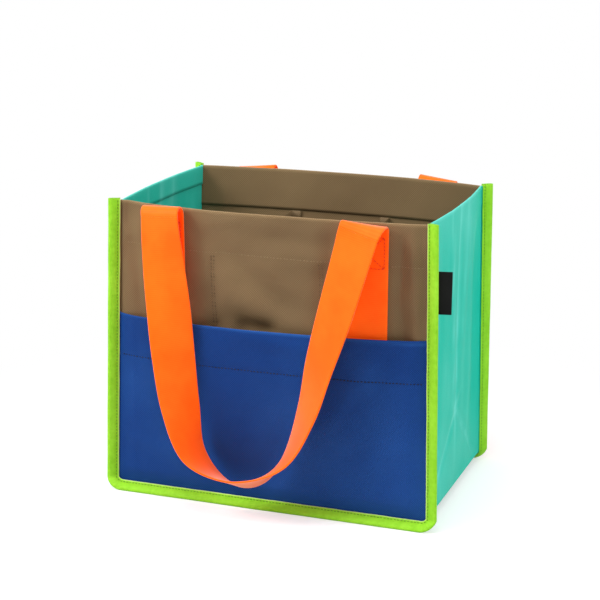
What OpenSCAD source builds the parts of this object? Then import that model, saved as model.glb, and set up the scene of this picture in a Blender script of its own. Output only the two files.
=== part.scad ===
// Carrier bag for six bottles, sewn from coated cloth and bound along its front and back edges.
// The bag stands on its two bottom seams. X runs from left to right, the front faces -Y and Z is up.

/* [Body] */
// Distance between the side seams at the base
base_w = 259; // [230:1:290]
// Distance between the side seams at the top edge
mouth_w = 248; // [220:1:280]
// Distance between the front and back seams
body_d = 165; // [150:1:185]
// Height of the panels above the bottom seams
panel_h = 233; // [215:1:260]
// How far the front and back panels bow out in the middle of the top edge
panel_bow = 12; // [6:0.5:16]
// Share of that bow by which the left half bows more than the right
bow_skew = 0.2; // [0:0.05:0.3]
// How far each side bows out in the middle of its top edge
side_bow = 4; // [0:0.5:8]
// Depth of the hems along the top edges
hem_h = 33; // [22:1:42]

/* [Cloth] */
// Thickness of the coated cloth
cloth_t = 0.6; // [0.4:0.1:0.9]
// Thickness of the binding tape
tape_t = 0.55; // [0.4:0.05:0.9]
// Gap between layers that are sewn together
layer_gap = 0.09; // [0.06:0.01:0.12]

/* [Bound seams] */
// Length of each bound seam, from its root to its outer edge
seam_l = 10.5; // [9:0.5:12]
// Angle of the front side seams, forward of the front panel
front_turn = 28; // [15:1:45]
// Angle of the back side seams, behind the back panel, at the base
back_turn = 55; // [35:1:60]
// The same angle at the top edge
back_turn_top = 35; // [30:1:50]
// Angle of the bottom seams, outward from straight down
bottom_turn = 57; // [45:1:62]
// Radius of the fold between the sides and the base
fold_r = 3; // [2:0.5:5]
// How far the binding stands above the top edge
binding_rise = 1.5; // [0.5:0.5:3]
// Distance of the binding's inner edge from the root of the seam
binding_in = 0.8; // [0.6:0.1:1.5]
// Distance of the binding's stitch line from its inner edge
binding_stitch_in = 2.3; // [1.5:0.1:4]

/* [Pocket] */
// Height of the pocket above the bottom seam
pocket_h = 142; // [120:1:160]
// How far the pocket's mouth bows out from the seams
pocket_bow = 15; // [13:0.5:18]
// Depth of the pocket's hem
pocket_hem = 33; // [20:1:40]
// Room behind the pocket for the handle's sewn ends
strap_room = 2.4; // [2.2:0.1:3]

/* [Dividers] */
// Height of the dividers above the bottom seams
divider_h = 198; // [170:1:200]
// Distance of the cross dividers from the middle
divider_x = 43.5; // [38:0.5:48]
// Width of the flange that sews a cross divider to its panel
divider_flange = 8; // [5:0.5:12]
// Distance between the two stitch lines along a divider
divider_lines = 2.3; // [1.5:0.1:4]

/* [Base board] */
// Thickness of the board inside the base
board_t = 2.5; // [1.5:0.5:4]
// Distance of the board's edges from the seams
board_in = 4; // [3:0.5:8]
// Radius of the board's corners
board_r = 8; // [4:1:15]

/* [Handles] */
// Width of the webbing
webbing_w = 34; // [28:1:38]
// Thickness of the webbing
webbing_t = 1.5; // [1:0.1:1.8]
// Place of the front handle's left end along the panel
left_end_x = -83.5; // [-90:0.5:-78]
// Place of the front handle's right end along the panel
right_end_x = 79; // [74:0.5:88]
// Height of the ends' lower edges above the bottom seam
end_low = 12; // [10:1:20]
// Height at which the handle starts to fold over, below the top edge
fold_below = 6; // [4:0.5:9]
// Distance between the sewn end and the hanging strap at the fold
fold_gap = 12.6; // [11:0.1:15]
// How far the loop hangs below its folds, at the middle of the webbing
loop_drop = 206; // [185:1:210]
// How much nearer the middle the loop starts than the sewn ends, on the left and right
fold_lean = [0.5, -0.5];
// Height of the stitched box on each end
box_h = 24; // [18:1:26]
// Distance of the stitched box from the webbing's edges
box_in = 3; // [2:0.5:5]
// How far the stitched box starts below the hem's line
box_low = 2; // [0:0.5:4]

/* [Label] */
// Height of the label
label_h = 33; // [25:1:40]
// Length of the label from the binding's inner edge to its free edge
label_l = 15.6; // [13:0.2:20]
// Thickness of the folded label
label_t = 1; // [0.6:0.1:1.4]
// Height of the label's lower edge above the bottom seam
label_low = 165; // [120:1:185]
// Angle of the label, behind the X direction
label_turn = 12; // [5:1:20]

/* [Hidden] */

brown = "#7f6747";
blue = "#1d4890";
teal = "#2fc3ac";
green = "#93d63c";
orange = "#ff7a24";
black = "#1c1c1c";
board_grey = "#4a4a4c";
divider_brown = "#6f5a3e";

// Thickness of a bound seam: two layers of tape over three layers of cloth
seam_t = 2 * tape_t + 3 * cloth_t + 4 * layer_gap;
// Distance between two neighbouring layers of cloth, middle to middle
layer = cloth_t + layer_gap;
// Length of the cloth inside the binding
flange_l = seam_l - tape_t - seam_t / 4;
// The outer edge of a bound seam is rounded with this radius
edge_r = seam_t / 2;
// Height of the bottom seams' roots above the floor
lift = (seam_l - edge_r) * cos(bottom_turn) + edge_r;
// Gap under a strap that lies on a curved panel
sewn_gap = 0.3;
// Thickness of a line of thread, and how deep it lies in the cloth
thread_t = 0.7;
thread_off = 0.25;
hem_z = panel_h - hem_h;
strap_layer = cloth_t / 2 + sewn_gap + webbing_t / 2;
fold_z = panel_h - fold_below;
bow_power = 2.4;
rise_power = 1.2;

// Places along half a seam, closer together near the corners
us = [for (i = [-6:6]) sin(15 * i)];
rows = concat(
    [fold_r, end_low],
    [for (i = [1:5]) end_low + (hem_z - 1 - end_low) * i / 5],
    [hem_z, (hem_z + panel_h) / 2, panel_h]
);
pocket_hem_z = pocket_h - pocket_hem;
pocket_rows = [fold_r, end_low, 40, 70, pocket_hem_z - 1, pocket_hem_z, (pocket_hem_z + pocket_h) / 2, pocket_h];

// The loop from its left fold to its right one: share of the way across, distance
// forward of the fold, share of the drop, and turn of the webbing towards the bag's middle
loop_keys = [
    [0, 0, 0, 11], [0.024, 0.5, 0.17, -3], [0.052, 1.5, 0.348, -20], [0.078, 2.5, 0.526, -36],
    [0.116, 3.5, 0.718, -53], [0.186, 5, 0.9, -83],
    [0.352, 6, 0.994, -113], [0.512, 7, 0.978, -110],
    [0.674, 7.5, 0.856, -70], [0.768, 7.5, 0.678, -50], [0.824, 7, 0.5, -37],
    [0.89, 6, 0.304, -26], [0.948, 3.5, 0.084, -14], [1, 0, 0, -12]
];
loop_steps = 4;

// Vector and list helpers
function unit(v) = v / max(norm(v), 1e-9);
function lerp(a, b, s) = a + (b - a) * s;
function joined(lists) = [for (l = lists) for (x = l) x];
function reversed(l) = [for (i = [len(l) - 1:-1:0]) l[i]];
function turned(p) = [-p.x, -p.y, p.z];

// Half the distance between the side seams at a height
function half_w(z) = lerp(base_w, mouth_w, z / panel_h) / 2;
// How far a panel bows out at a place across it (-1 to 1) and a height
function bow(u, z) =
    panel_bow * pow(max(z, 0) / panel_h, rise_power) * (1 - pow(abs(u), bow_power)) * (1 - bow_skew * u);
function side_out(v, z) = side_bow * pow(max(z, 0) / panel_h, rise_power) * (1 - v * v);
// Distance of the front panel's middle surface from the bag's centre plane
function panel_y(x, z) = -body_d / 2 - bow(x / half_w(z), z);
// How far the pocket stands off the panel
function ramp(s) = min(1, max(0, s));
pocket_more = pocket_bow - panel_bow * pow(pocket_h / panel_h, rise_power) - layer - strap_room;
function pocket_off(u, z) =
    layer + strap_room * ramp((1 - abs(u)) * base_w / 28) * ramp(z / end_low)
    + pocket_more * pow(z / pocket_h, 1.5) * (1 - pow(abs(u), bow_power));

// A bound seam's stations run down the left side, along the bottom and up the right side.
// Each one is [root, direction of the seam, direction across its layers towards the outside].
function turn_at(turn, turn_top, z) = lerp(turn, turn_top, z / panel_h);
function side_dir(turn, turn_top, z, side) =
    let (a = turn_at(turn, turn_top, z)) [side * cos(a), -sin(a), 0];
bottom_dir = [0, -sin(bottom_turn), -cos(bottom_turn)];
function station(root, d, along) = [root, d, unit(cross(d, along))];
function side_station(z, turn, turn_top, side) =
    station(
        [side * half_w(z), -body_d / 2, z],
        side_dir(turn, turn_top, z, side),
        [0, 0, side]
    );
function corner_station(a, turn, turn_top, side) =
    station(
        [side * (half_w(fold_r) - fold_r * (1 - cos(a))), -body_d / 2, fold_r * (1 - sin(a))],
        unit(cos(a) * side_dir(turn, turn_top, 0, side) + sin(a) * bottom_dir),
        [sin(a), 0, side * cos(a)]
    );
function bottom_station(u) = station([u * (half_w(0) - fold_r), -body_d / 2, 0], bottom_dir, [1, 0, 0]);
corner_angles = [22.5, 45, 67.5];
function seam(turn, turn_top, heights) = concat(
    [for (z = reversed(heights)) side_station(z, turn, turn_top, -1)],
    [for (a = corner_angles) corner_station(a, turn, turn_top, -1)],
    [for (u = us) bottom_station(u)],
    [for (a = reversed(corner_angles)) corner_station(a, turn, turn_top, 1)],
    [for (z = heights) side_station(z, turn, turn_top, 1)]
);
// A point in a seam, at a distance from its root and from its middle layer
function in_seam(s, along, across) = s[0] + along * s[1] + across * s[2];

// A grid of points, thickened by the given distances to both sides
function grid_normal(g, r, c) =
    let (
        back_r = max(r - 1, 0), next_r = min(r + 1, len(g) - 1),
        back_c = max(c - 1, 0), next_c = min(c + 1, len(g[0]) - 1),
        along_r = unit(g[next_r][c] - g[r][c]) + unit(g[r][c] - g[back_r][c]),
        along_c = unit(g[r][next_c] - g[r][c]) + unit(g[r][c] - g[r][back_c])
    ) unit(cross(along_r, along_c));
function quads(list) = joined([for (q = list) [[q[0], q[1], q[2]], [q[0], q[2], q[3]]]]);
module sheet(g, above, below) {
    nr = len(g);
    nc = len(g[0]);
    both = nr * nc;
    normals = [for (r = [0:nr - 1]) [for (c = [0:nc - 1]) grid_normal(g, r, c)]];
    points = concat(
        joined([for (r = [0:nr - 1]) [for (c = [0:nc - 1]) g[r][c] + above[r][c] * normals[r][c]]]),
        joined([for (r = [0:nr - 1]) [for (c = [0:nc - 1]) g[r][c] - below * normals[r][c]]])
    );
    cells = joined([for (r = [0:nr - 2]) [for (c = [0:nc - 2]) r * nc + c]]);
    rim = concat(
        [for (r = [0:nr - 1]) r * nc],
        [for (c = [1:nc - 1]) (nr - 1) * nc + c],
        [for (r = [nr - 2:-1:0]) r * nc + nc - 1],
        [for (c = [nc - 2:-1:1]) c]
    );
    polyhedron(points, concat(
        quads([for (k = cells) [k, k + 1, k + nc + 1, k + nc]]),
        quads([for (k = cells) [both + k, both + k + nc, both + k + nc + 1, both + k + 1]]),
        quads([for (i = [0:len(rim) - 1])
            let (a = rim[i], b = rim[(i + 1) % len(rim)]) [a, b, both + b, both + a]])
    ));
}
module even_sheet(g, t) {
    sheet(g, [for (r = g) [for (p = r) t / 2]], t / 2);
}

// A closed outline swept through a list of rings
module skin(rings) {
    n = len(rings[0]);
    last = (len(rings) - 1) * n;
    polyhedron(joined(rings), concat(
        quads(joined([for (k = [0:len(rings) - 2]) [for (i = [0:n - 1])
            let (j = (i + 1) % n) [k * n + j, k * n + i, (k + 1) * n + i, (k + 1) * n + j]]])),
        [[for (i = [0:n - 1]) i]],
        [[for (i = [n - 1:-1:0]) last + i]]
    ));
}
// A line of thread through a list of points, each with the direction out of the cloth
module thread(points, outs) {
    n = len(points);
    skin([for (k = [0:n - 1])
        let (
            ahead = unit(points[min(k + 1, n - 1)] - points[max(k - 1, 0)]),
            out = unit(outs[k]),
            side = unit(cross(ahead, out)),
            h = thread_t / 2
        )
        [points[k] - h * side, points[k] + h * out, points[k] + h * side, points[k] - 0.1 * out]
    ]);
}

// A front or back panel. Its bottom edge and its side edges turn out into the bound seams.
function panel_grid(heights, turn, turn_top, off_seam, is_pocket = false) = concat(
    [concat(
        [in_seam(corner_station(45, turn, turn_top, -1), flange_l, off_seam)],
        [for (u = us) in_seam(bottom_station(u), flange_l, off_seam)],
        [in_seam(corner_station(45, turn, turn_top, 1), flange_l, off_seam)]
    )],
    [concat(
        [in_seam(corner_station(45, turn, turn_top, -1), flange_l / 2, off_seam)],
        [for (u = us) in_seam(bottom_station(u), off_seam * tan(bottom_turn / 2), off_seam)],
        [in_seam(corner_station(45, turn, turn_top, 1), flange_l / 2, off_seam)]
    )],
    [for (z = heights) concat(
        [in_seam(side_station(z, turn, turn_top, -1), flange_l, off_seam)],
        [for (u = us)
            let (off = is_pocket ? pocket_off(u, z) : 0)
            abs(u) == 1
                ? in_seam(
                    side_station(z, turn, turn_top, sign(u)),
                    off_seam * tan(turn_at(turn, turn_top, z) / 2), off_seam
                )
                : [u * half_w(z), -body_d / 2 - bow(u, z) - off, z]],
        [in_seam(side_station(z, turn, turn_top, 1), flange_l, off_seam)]
    )]
);
// The hem is a second layer on the inside of the panel's upper edge, between the seams
module hemmed(g, heights, hem_from) {
    n = len(g[0]);
    inner = [for (r = [0:len(g) - 1]) [for (c = [0:n - 1])
        r > 1 && heights[max(r - 2, 0)] >= hem_from && c > 1 && c < n - 2 ? 1.5 * cloth_t : cloth_t / 2]];
    sheet(g, inner, cloth_t / 2);
}

module front_panel() {
    color(brown) translate([0, 0, lift])
        hemmed(panel_grid(rows, front_turn, front_turn, 0), rows, hem_z);
}

module back_panel() {
    color(brown) translate([0, 0, lift]) rotate(180)
        hemmed(panel_grid(rows, back_turn, back_turn_top, layer / 2), rows, hem_z);
}

module front_pocket() {
    color(blue) translate([0, 0, lift])
        hemmed(panel_grid(pocket_rows, front_turn, front_turn, layer, true), pocket_rows, pocket_hem_z);
}

// One strip of cloth makes both sides and the base. Its edges lie behind the panels in the seams.
module gusset() {
    front = seam(front_turn, front_turn, rows);
    back = seam(back_turn, back_turn_top, rows);
    across = [-0.75, -0.4, 0, 0.4, 0.75];
    n = len(front);
    g = [for (k = [0:n - 1])
        let (
            f = front[k],
            m = back[n - 1 - k],
            b = [turned(m[0]), turned(m[1]), turned(m[2])],
            root_f = in_seam(f, 0, -layer),
            root_b = in_seam(b, 0, -layer)
        )
        concat(
            [in_seam(f, flange_l, -layer), root_f],
            [for (v = across)
                lerp(root_f, root_b, (v + 1) / 2)
                + [sign(f[0].x) * (f[0].z < fold_r ? 0 : side_out(v, f[0].z)), 0, 0]],
            [root_b, in_seam(b, flange_l, -layer)]
        )
    ];
    color(teal) translate([0, 0, lift]) even_sheet(g, cloth_t);
}

base_z = -layer * sin(bottom_turn);
board_z = base_z + cloth_t / 2 + layer_gap;
module base_board() {
    size = [base_w - 2 * board_in, body_d - 2 * board_in];
    color(board_grey) translate([0, 0, lift + board_z]) linear_extrude(board_t)
        difference() {
            square(size, center = true);
            for (x = [-1, 1], y = [-1, 1]) scale([x, y])
                translate([size.x / 2 - board_r, size.y / 2 - board_r])
                difference() {
                    square(board_r + 1);
                    circle(board_r, $fn = 48);
                }
        }
}

// Binding tape folded round the edges of the cloth, in one length from top edge to top edge
function tape_ring(s) =
    let (
        h = seam_t / 2,
        inner = h - tape_t,
        straight = seam_l - edge_r,
        channel_l = seam_l - tape_t - inner / 2,
        arc = [for (a = [90:-30:-90]) [straight + edge_r * cos(a), edge_r * sin(a)]],
        outline = concat(
            [[binding_in, h]], arc, [[binding_in, -h], [binding_in, -inner], [channel_l, -inner]],
            [[channel_l, inner], [binding_in, inner]]
        )
    )
    [for (p = outline) in_seam(s, p.x, p.y)];
function binding_seam(turn, turn_top) =
    seam(turn, turn_top, concat([for (z = rows) if (z < panel_h) z], [panel_h + binding_rise]));
module binding(turn, turn_top) {
    skin([for (s = binding_seam(turn, turn_top)) tape_ring(s)]);
}

module front_binding() {
    color(green) translate([0, 0, lift]) binding(front_turn, front_turn);
}

module back_binding() {
    color(green) translate([0, 0, lift]) rotate(180) binding(back_turn, back_turn_top);
}

module binding_stitching(turn, turn_top) {
    s = binding_seam(turn, turn_top);
    for (side = [1, -1])
        thread(
            [for (x = s) in_seam(x, binding_in + binding_stitch_in, side * (seam_t / 2 + thread_off))],
            [for (x = s) side * x[2]]
        );
}

module front_binding_stitching() {
    color(green) translate([0, 0, lift]) binding_stitching(front_turn, front_turn);
}

module back_binding_stitching() {
    color(green) translate([0, 0, lift]) rotate(180) binding_stitching(back_turn, back_turn_top);
}

// The long divider runs between the sides, and its ends follow their bow
divider_low = board_z + board_t + 0.3;
divider_rows = [for (i = [0:6]) lerp(divider_low, divider_h, i / 6)];
module centre_divider() {
    edge = [for (z = divider_rows) [half_w(z) + side_out(0, z) - cloth_t / 2 - sewn_gap, z]];
    color(divider_brown) translate([0, cloth_t / 2, lift]) rotate([90, 0, 0]) linear_extrude(cloth_t)
        polygon(concat(edge, reversed([for (p = edge) [-p.x, p.y]])));
}

// A cross divider runs from the long divider to a panel, where its flange is sewn on
module cross_divider(side) {
    place = function (x, z) [x, panel_y(x, z) + 1.5 * cloth_t + sewn_gap, z];
    x0 = side * divider_x;
    g = [for (z = divider_rows)
        let (corner = place(x0, z), y_end = -cloth_t / 2 - sewn_gap)
        [
            place(x0 - side * divider_flange, z),
            place(x0 - side * divider_flange / 2, z),
            corner,
            lerp(corner, [x0, y_end, z], 0.5),
            [x0, y_end, z]
        ]
    ];
    even_sheet(g, cloth_t);
}

module front_left_divider() {
    color(divider_brown) translate([0, 0, lift]) cross_divider(-1);
}

module front_right_divider() {
    color(divider_brown) translate([0, 0, lift]) cross_divider(1);
}

module back_left_divider() {
    color(divider_brown) translate([0, 0, lift]) rotate(180) cross_divider(1);
}

module back_right_divider() {
    color(divider_brown) translate([0, 0, lift]) rotate(180) cross_divider(-1);
}

// The handle's ends lie on the panel, from behind the pocket up to the fold
widths = [-1, -0.5, 0, 0.5, 1];
function end_point(x0, s, z) =
    let (x = x0 + s * webbing_w / 2) [x, panel_y(x, z) - strap_layer, z];
end_rows = [for (i = [0:9]) lerp(end_low, fold_z, i / 9)];
module handle_end(x0) {
    even_sheet([for (z = end_rows) [for (s = widths) end_point(x0, s, z)]], webbing_t);
}

// The hanging loop: a smooth curve through the keys, with the webbing's width turning along it
loop_x = [left_end_x + fold_lean[0], right_end_x + fold_lean[1]];
loop_y = -body_d / 2 - bow(left_end_x / half_w(fold_z), fold_z) - strap_layer - fold_gap;
function loop_key(k) = [
    lerp(loop_x[0], loop_x[1], loop_keys[k][0]),
    loop_y - loop_keys[k][1],
    fold_z - loop_drop * loop_keys[k][2],
    loop_keys[k][3]
];
lead = [0, 0, 50, 0];
last_key = len(loop_keys) - 1;
function loop_control(k) =
    k < 0 ? loop_key(0) + lead : k > last_key ? loop_key(last_key) + lead : loop_key(k);
function smooth(a, b, c, d, t) =
    0.5 * (2 * b + (c - a) * t + (2 * a - 5 * b + 4 * c - d) * t * t + (3 * b - a - 3 * c + d) * t * t * t);
loop_points = concat(
    [for (k = [0:last_key - 1]) for (i = [0:loop_steps - 1])
        smooth(loop_control(k - 1), loop_control(k), loop_control(k + 1), loop_control(k + 2), i / loop_steps)],
    [loop_key(last_key)]
);
function place3(p) = [p[0], p[1], p[2]];
// The direction across the webbing, from its outer edge to its edge inside the loop
function loop_width(k) =
    let (
        n = len(loop_points),
        ahead = unit(place3(loop_points[min(k + 1, n - 1)]) - place3(loop_points[max(k - 1, 0)])),
        inward = unit(cross(ahead, [0, 1, 0])),
        forward = let (f = cross(ahead, inward)) f.y < 0 ? f : -f,
        turn = loop_points[k][3]
    )
    unit(cos(turn) * inward + sin(turn) * forward);
function loop_row(k) = [for (s = widths) place3(loop_points[k]) + s * webbing_w / 2 * loop_width(k)];
module handle_loop() {
    even_sheet([for (k = [0:len(loop_points) - 1]) loop_row(k)], webbing_t);
}

// The folds that carry the webbing from its sewn ends over into the loop
fold_angles = [10, 25, 46, 68, 90, 112, 134, 155, 170];
module handle_fold(x0, hanging) {
    even_sheet([for (a = fold_angles) [for (i = [0:len(widths) - 1])
        let (
            from = end_point(x0, widths[i], fold_z),
            to = hanging[i],
            r = abs(to.y - from.y) / 2
        )
        lerp(from, to, (1 - cos(a)) / 2) + [0, 0, r * sin(a)]
    ]], webbing_t);
}
module handle_folds() {
    handle_fold(left_end_x, loop_row(0));
    handle_fold(right_end_x, reversed(loop_row(len(loop_points) - 1)));
}

module front_handle_left_end() {
    color(orange) translate([0, 0, lift]) handle_end(left_end_x);
}

module front_handle_right_end() {
    color(orange) translate([0, 0, lift]) handle_end(right_end_x);
}

module back_handle_left_end() {
    color(orange) translate([0, 0, lift]) rotate(180) handle_end(right_end_x);
}

module back_handle_right_end() {
    color(orange) translate([0, 0, lift]) rotate(180) handle_end(left_end_x);
}

module front_handle_folds() {
    color(orange) translate([0, 0, lift]) handle_folds();
}

module back_handle_folds() {
    color(orange) translate([0, 0, lift]) rotate(180) handle_folds();
}

module front_handle_loop() {
    color(orange) translate([0, 0, lift]) handle_loop();
}

module back_handle_loop() {
    color(orange) translate([0, 0, lift]) rotate(180) handle_loop();
}

// A woven tab, folded once and sewn into the front seam on the right
module label() {
    root = side_station(label_low + label_h / 2, front_turn, front_turn, 1);
    color(black) translate([0, 0, lift])
        translate(in_seam(root, binding_in, -seam_t / 2 - layer_gap) - [0, 0, label_h / 2])
        rotate(label_turn) cube([label_l, label_t, label_h]);
}

// Thread that stands on the outside of a panel
function on_panel(x, z, off) = [x, panel_y(x, z) - off, z];
outward = [0, -1, 0];
module panel_stitching() {
    // The hem's line runs on under the handle's ends, where it is pressed into the cloth
    clear = webbing_w / 2 + 1;
    x_seam = 0.98 * half_w(hem_z);
    for (run = [[-x_seam, left_end_x - clear], [left_end_x + clear, right_end_x - clear], [right_end_x + clear, x_seam]]) {
        points = [for (i = [0:6]) on_panel(lerp(run[0], run[1], i / 6), hem_z, cloth_t / 2 + thread_off)];
        thread(points, [for (p = points) outward]);
    }
    for (side = [-1, 1], line = [-0.5, 0.5]) {
        x = side * divider_x + line * divider_lines;
        points = [for (z = divider_rows) if (z > end_low) on_panel(x, z, cloth_t / 2 + thread_off)];
        thread(points, [for (p = points) outward]);
    }
}

module front_panel_stitching() {
    color(divider_brown) translate([0, 0, lift]) panel_stitching();
}

module back_panel_stitching() {
    color(divider_brown) translate([0, 0, lift]) rotate(180) panel_stitching();
}

module pocket_stitching() {
    line = [for (u = us) if (abs(u) < 0.98)
        let (z = pocket_hem_z)
        [u * half_w(z), -body_d / 2 - bow(u, z) - pocket_off(u, z) - cloth_t / 2 - thread_off, z]];
    color(blue) translate([0, 0, lift]) thread(line, [for (p = line) outward]);
}

// A box with a cross in it, sewn through each end of a handle
module box_stitching(x0) {
    s = 1 - 2 * box_in / webbing_w;
    low = hem_z - box_low;
    high = low + box_h;
    at = function (c, z) end_point(x0, c * s, z) - [0, webbing_t / 2 + thread_off, 0];
    corners = [[-1, low], [1, low], [1, high], [-1, high]];
    runs = [[0, 1], [1, 2], [2, 3], [3, 0], [0, 2], [1, 3]];
    for (r = runs) {
        points = [for (i = [0:4])
            let (p = lerp(corners[r[0]], corners[r[1]], lerp(-0.01, 1.01, i / 4))) at(p[0], p[1])];
        thread(points, [for (p = points) outward]);
    }
}
module handle_stitching() {
    box_stitching(left_end_x);
    box_stitching(right_end_x);
}

module front_handle_stitching() {
    color(orange) translate([0, 0, lift]) handle_stitching();
}

module back_handle_stitching() {
    color(orange) translate([0, 0, lift]) rotate(180) handle_stitching();
}

front_panel();
back_panel();
gusset();
base_board();
front_pocket();
front_binding();
back_binding();
centre_divider();
front_left_divider();
front_right_divider();
back_left_divider();
back_right_divider();
front_handle_left_end();
front_handle_right_end();
back_handle_left_end();
back_handle_right_end();
front_handle_folds();
back_handle_folds();
front_handle_loop();
back_handle_loop();
label();
front_binding_stitching();
back_binding_stitching();
front_panel_stitching();
back_panel_stitching();
pocket_stitching();
front_handle_stitching();
back_handle_stitching();
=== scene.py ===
# A sewn cloth carrier with six cells: brown panels, blue pocket, turquoise sides, green tape, orange handles
import math

import bpy
from mathutils import Matrix, Vector, noise


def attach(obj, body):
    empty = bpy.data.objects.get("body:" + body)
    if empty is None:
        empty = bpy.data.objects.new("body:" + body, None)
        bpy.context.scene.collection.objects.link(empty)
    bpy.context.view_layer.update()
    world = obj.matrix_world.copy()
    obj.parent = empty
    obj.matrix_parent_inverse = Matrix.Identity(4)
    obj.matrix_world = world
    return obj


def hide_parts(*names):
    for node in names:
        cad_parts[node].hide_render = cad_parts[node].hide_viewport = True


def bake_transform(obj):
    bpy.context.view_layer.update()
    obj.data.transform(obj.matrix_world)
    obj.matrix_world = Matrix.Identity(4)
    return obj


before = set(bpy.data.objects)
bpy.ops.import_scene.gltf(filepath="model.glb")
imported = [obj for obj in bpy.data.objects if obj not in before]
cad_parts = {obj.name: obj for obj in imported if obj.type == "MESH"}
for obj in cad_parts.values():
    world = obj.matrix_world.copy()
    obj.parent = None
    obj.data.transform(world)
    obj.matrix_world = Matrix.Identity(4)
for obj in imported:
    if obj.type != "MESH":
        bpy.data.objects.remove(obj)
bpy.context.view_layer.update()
MM = 0.001

# Sizes of the bag in millimetres, the same as the part's
BASE_W, MOUTH_W, DEPTH, HEIGHT = 259.0, 248.0, 165.0, 233.0
PANEL_BOW, BOW_SKEW, SIDE_BOW = 12.0, 0.2, 4.0
CLOTH, TAPE, GAP = 0.6, 0.55, 0.09
LAYER = CLOTH + GAP
SEAM_L, SEAM_T = 10.5, 2 * TAPE + 3 * CLOTH + 4 * GAP
EDGE_R = SEAM_T / 2
FRONT_TURN, BACK_TURN, BACK_TURN_TOP, BOTTOM_TURN = 28.0, 55.0, 35.0, 57.0
LIFT = (SEAM_L - EDGE_R) * math.cos(math.radians(BOTTOM_TURN)) + EDGE_R
FOLD_R, BINDING_IN, BINDING_RISE = 3.0, 0.8, 1.5
HEM, HEM_Z = 33.0, 200.0
POCKET_H, POCKET_BOW, POCKET_HEM, STRAP_ROOM = 142.0, 15.0, 33.0, 2.4
DIVIDER_H, DIVIDER_X, DIVIDER_FLANGE, DIVIDER_LINES = 198.0, 43.5, 8.0, 2.3
WEBBING_W, WEBBING_T = 34.0, 1.5
LEFT_X, RIGHT_X, END_LOW, FOLD_Z, FOLD_GAP, LOOP_DROP = -83.5, 79.0, 12.0, 227.0, 12.6, 206.0
SEWN_GAP = 0.3
STRAP_LAYER = CLOTH / 2 + SEWN_GAP + WEBBING_T / 2
STITCH = 2.7
BOARD_T = 2.5
# Radius of the fold at the top edge of a hem
HEM_R = (CLOTH + 0.25) / 2
# Where a cloth has its points inside a seam, as distances from the seam's root, from the cut edge inwards
FLANGE = [SEAM_L - TAPE - SEAM_T / 4, 5.0, 1.0]
# Where the binding is stitched, as a distance from the seam's root
NEEDLE_LINE = BINDING_IN + 2.3
# A UV map counts in units of this many millimetres
UV_UNIT = 100
OUTWARD = Vector((0, -1, 0))


# Camera: its turn, tilt and roll in degrees, and its place in millimetres

CAMERA_YAW, CAMERA_PITCH, CAMERA_ROLL = 19.28, 14.72, 0.61
CAMERA_PLACE = (443.7, -1280.3, 499.8 + LIFT)
CAMERA_LENS = 102.92


def place_camera():
    yaw, pitch, roll = map(math.radians, (CAMERA_YAW, CAMERA_PITCH, CAMERA_ROLL))
    ahead = Vector((-math.sin(yaw) * math.cos(pitch), math.cos(yaw) * math.cos(pitch), -math.sin(pitch)))
    right = ahead.cross(Vector((0, 0, 1))).normalized()
    up = right.cross(ahead)
    right, up = (right * math.cos(roll) + up * math.sin(roll), up * math.cos(roll) - right * math.sin(roll))
    camera = bpy.data.objects.new("camera", bpy.data.cameras.new("camera"))
    bpy.context.collection.objects.link(camera)
    turn = Matrix((right, up, -ahead)).transposed().to_4x4()
    camera.matrix_world = Matrix.Translation(Vector(CAMERA_PLACE) * MM) @ turn
    camera.data.sensor_width = 36
    camera.data.lens = CAMERA_LENS
    camera.data.clip_start = 0.05
    camera.data.clip_end = 30
    bpy.context.scene.camera = camera


# Materials

def linear(code):
    parts = [int(code[i:i + 2], 16) / 255 for i in (1, 3, 5)]
    return [c / 12.92 if c <= 0.04045 else ((c + 0.055) / 1.055) ** 2.4 for c in parts] + [1.0]


def add(tree, kind, settings=None, links=None):
    made = tree.nodes.new(kind)
    for key, value in (settings or {}).items():
        if isinstance(key, str) and hasattr(made, key):
            setattr(made, key, value)
        else:
            made.inputs[key].default_value = value
    for key, source in (links or {}).items():
        tree.links.new(source, made.inputs[key])
    return made


def new_material(name):
    made = bpy.data.materials.new(name)
    made.use_nodes = True
    tree = made.node_tree
    tree.nodes.clear()
    return made, tree


def finish_material(tree, colour, height, distance, strength, shader):
    bump = add(tree, "ShaderNodeBump", {"Distance": distance, "Strength": strength}, {"Height": height})
    body = add(tree, "ShaderNodeBsdfPrincipled", shader,
               {"Normal": bump.outputs["Normal"], "Base Color": colour})
    add(tree, "ShaderNodeOutputMaterial", None, {"Surface": body.outputs[0]})


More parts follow.
